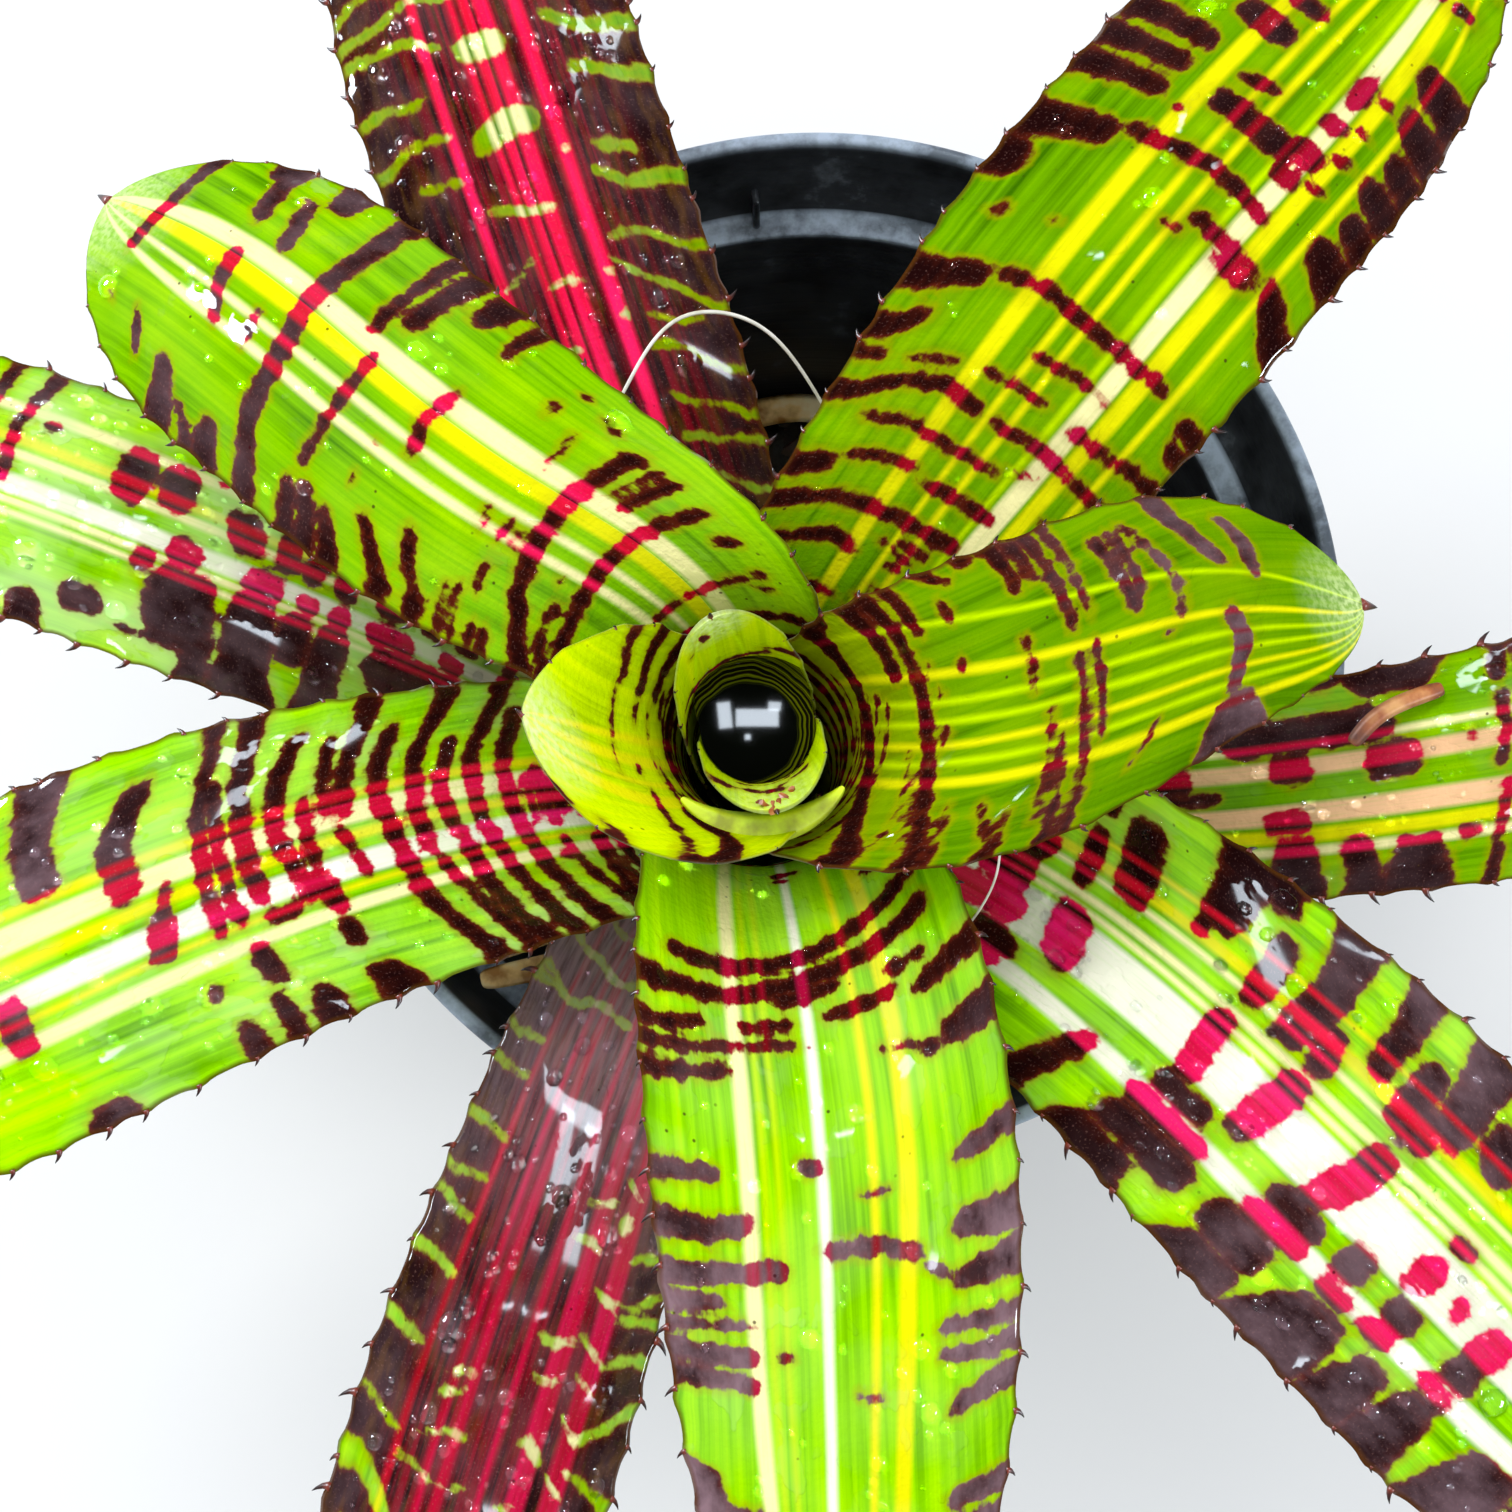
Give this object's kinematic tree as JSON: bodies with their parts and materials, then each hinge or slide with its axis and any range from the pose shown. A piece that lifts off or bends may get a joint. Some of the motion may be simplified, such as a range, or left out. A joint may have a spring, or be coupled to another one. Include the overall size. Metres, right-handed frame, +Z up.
{
  "type": "potted bromeliad",
  "caption": "Bromeliad in a black nursery pot: a rosette of banded, spiny strap leaves around a cup of water, over dark potting mix.",
  "frame": {"origin": "centre of the pot's underside, on the plane it stands on", "axes": "+Z up; +Y towards the back, the top of the reference view; +X to the right. The rosette's own axis stands 10 mm to -X and 24 mm to -Y of the pot's"},
  "size_m": [0.3254, 0.3169, 0.1975],
  "materials": {
    "pot_plastic": "satin",
    "potting_mix": "matte",
    "stem": "matte",
    "young_leaf": "gloss",
    "banded_leaf": "gloss",
    "dark_leaf": "gloss",
    "old_leaf": "gloss",
    "tank_water": "polished",
    "dry_leaf": "matte"
  },
  "bodies": {
    "root": {"pot": "pot_plastic", "potting_mix": "potting_mix", "stem": "stem", "leaf_01": "young_leaf", "leaf_02": "young_leaf", "leaf_03": "young_leaf", "leaf_04": "banded_leaf", "leaf_05": "banded_leaf", "leaf_06": "banded_leaf", "leaf_07": "banded_leaf", "leaf_08": "banded_leaf", "leaf_09": "banded_leaf", "leaf_10": "dark_leaf", "leaf_11": "dark_leaf", "leaf_12": "old_leaf", "leaf_13": "old_leaf", "tank_water": "tank_water", "dry_leaf_1": "dry_leaf", "dry_leaf_2": "dry_leaf", "dry_leaf_3": "dry_leaf"}
  },
  "joints": []
}
